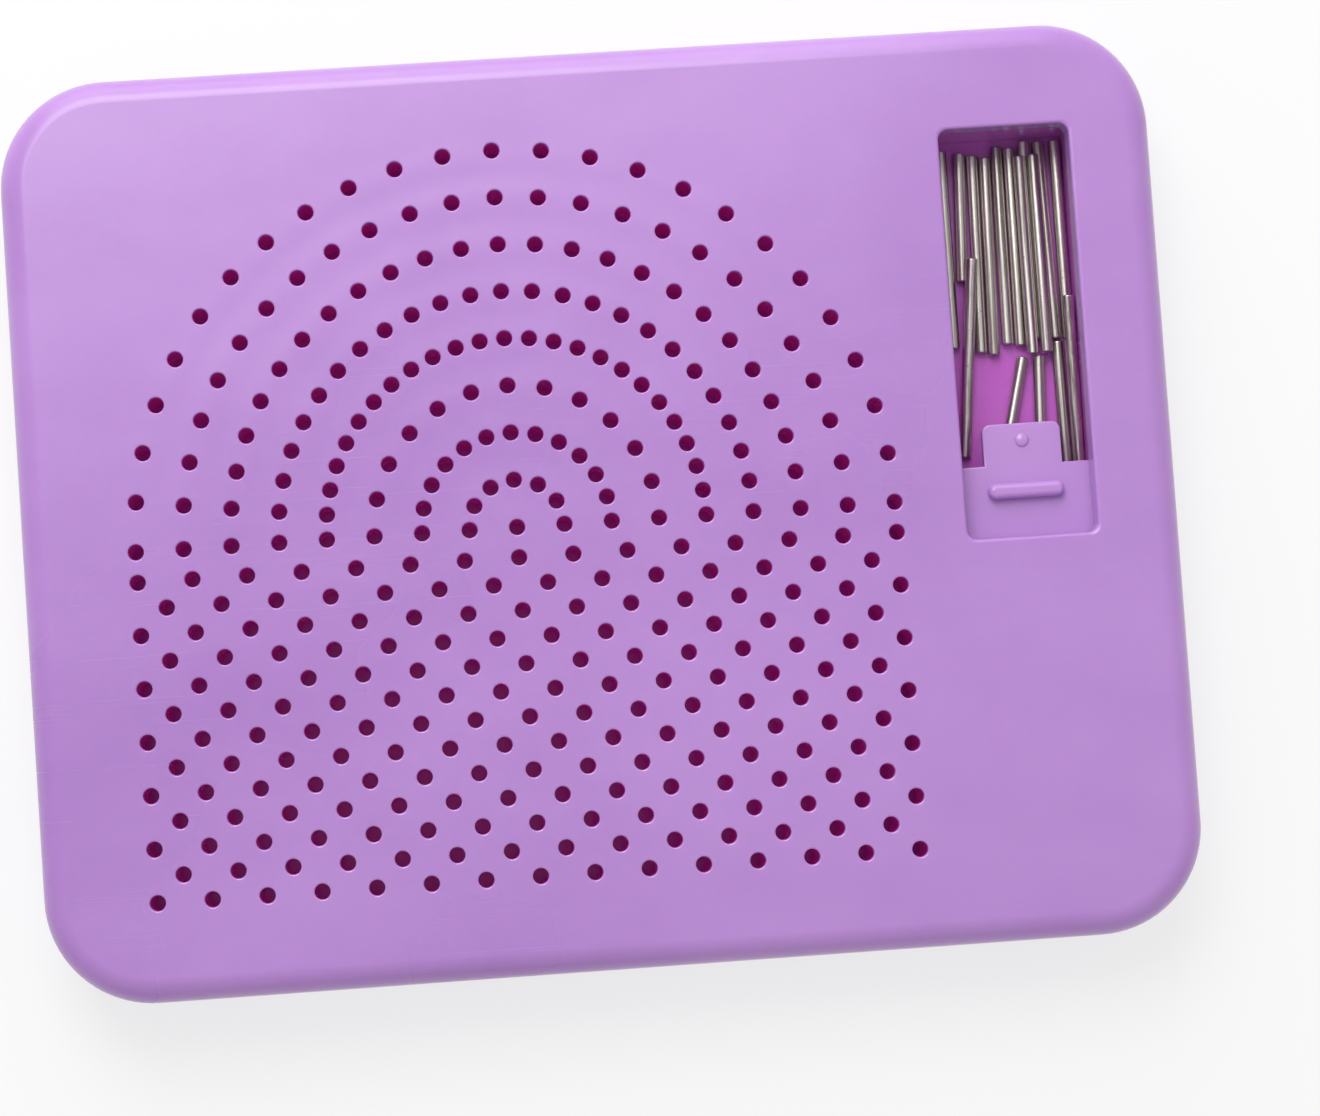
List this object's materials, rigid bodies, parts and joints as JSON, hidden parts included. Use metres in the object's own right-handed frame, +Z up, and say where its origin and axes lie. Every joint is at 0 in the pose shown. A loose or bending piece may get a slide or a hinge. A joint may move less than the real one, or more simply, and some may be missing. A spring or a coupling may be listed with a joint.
{
  "type": "peg board with pins",
  "caption": "Palm-sized peg board with arcs and a staggered field of pin holes, loose steel pins in a well, and a sliding well cover.",
  "frame": {"origin": "middle of the board's outline, on the surface it stands on", "axes": "+X along the board's length towards the pin well, +Y up the board towards the arcs, +Z up out of the plate"},
  "size_m": [0.113, 0.09, 0.013],
  "materials": {
    "lilac_plastic": "gloss moulded lilac plastic",
    "well_plastic": "moulded purple plastic",
    "steel": "ground steel, streaked along the pin",
    "rubber": "matt rubber"
  },
  "bodies": {
    "board": {"top_shell": "lilac_plastic", "bottom_cover": "well_plastic", "cover_screws": "steel", "rubber_feet": "rubber"},
    "cover": {"well_cover": "lilac_plastic"},
    "loose_pin_01": {"pin_01": "steel"},
    "loose_pin_02": {"pin_02": "steel"},
    "loose_pin_03": {"pin_03": "steel"},
    "loose_pin_16": {"pin_16": "steel"},
    "loose_pin_04": {"pin_04": "steel"},
    "loose_pin_05": {"pin_05": "steel"},
    "loose_pin_09": {"pin_09": "steel"},
    "loose_pin_06": {"pin_06": "steel"},
    "loose_pin_07": {"pin_07": "steel"},
    "loose_pin_10": {"pin_10": "steel"},
    "loose_pin_08": {"pin_08": "steel"},
    "loose_pin_11": {"pin_11": "steel"},
    "loose_pin_12": {"pin_12": "steel"},
    "loose_pin_13": {"pin_13": "steel"},
    "loose_pin_14": {"pin_14": "steel"},
    "loose_pin_15": {"pin_15": "steel"}
  },
  "joints": [
    {"name": "cover_slide", "type": "slide", "parent": "board", "child": "cover", "axis": [0, 1, 0], "range_m": [-0.0036, 0.0333]},
    {"name": "pin_01_lift", "type": "slide", "parent": "board", "child": "loose_pin_01", "axis": [0, 0, 1], "range_m": [0, 0.004]},
    {"name": "pin_02_lift", "type": "slide", "parent": "board", "child": "loose_pin_02", "axis": [0, 0, 1], "range_m": [0, 0.001]},
    {"name": "pin_03_lift", "type": "slide", "parent": "loose_pin_02", "child": "loose_pin_03", "axis": [0, 0, 1], "range_m": [0, 0.001]},
    {"name": "pin_16_lift", "type": "slide", "parent": "loose_pin_03", "child": "loose_pin_16", "axis": [0, 0, 1], "range_m": [0, 0.001]},
    {"name": "pin_04_lift", "type": "slide", "parent": "board", "child": "loose_pin_04", "axis": [0, 0, 1], "range_m": [0, 0.004]},
    {"name": "pin_05_lift", "type": "slide", "parent": "board", "child": "loose_pin_05", "axis": [0, 0, 1], "range_m": [0, 0.004]},
    {"name": "pin_09_lift", "type": "slide", "parent": "board", "child": "loose_pin_09", "axis": [0, 0, 1], "range_m": [0, 0.001]},
    {"name": "pin_06_lift", "type": "slide", "parent": "loose_pin_09", "child": "loose_pin_06", "axis": [0, 0, 1], "range_m": [0, 0.001]},
    {"name": "pin_07_lift", "type": "slide", "parent": "loose_pin_06", "child": "loose_pin_07", "axis": [0, 0, 1], "range_m": [0, 0.001]},
    {"name": "pin_10_lift", "type": "slide", "parent": "loose_pin_09", "child": "loose_pin_10", "axis": [0, 0, 1], "range_m": [0, 0.001]},
    {"name": "pin_08_lift", "type": "slide", "parent": "loose_pin_10", "child": "loose_pin_08", "axis": [0, 0, 1], "range_m": [0, 0.001]},
    {"name": "pin_11_lift", "type": "slide", "parent": "board", "child": "loose_pin_11", "axis": [0, 0, 1], "range_m": [0, 0.0013]},
    {"name": "pin_12_lift", "type": "slide", "parent": "loose_pin_11", "child": "loose_pin_12", "axis": [0, 0, 1], "range_m": [0, 0.0013]},
    {"name": "pin_13_lift", "type": "slide", "parent": "board", "child": "loose_pin_13", "axis": [0, 0, 1], "range_m": [0, 0.004]},
    {"name": "pin_14_lift", "type": "slide", "parent": "board", "child": "loose_pin_14", "axis": [0, 0, 1], "range_m": [0, 0.004]},
    {"name": "pin_15_lift", "type": "slide", "parent": "board", "child": "loose_pin_15", "axis": [0, 0, 1], "range_m": [0, 0.004]}
  ]
}
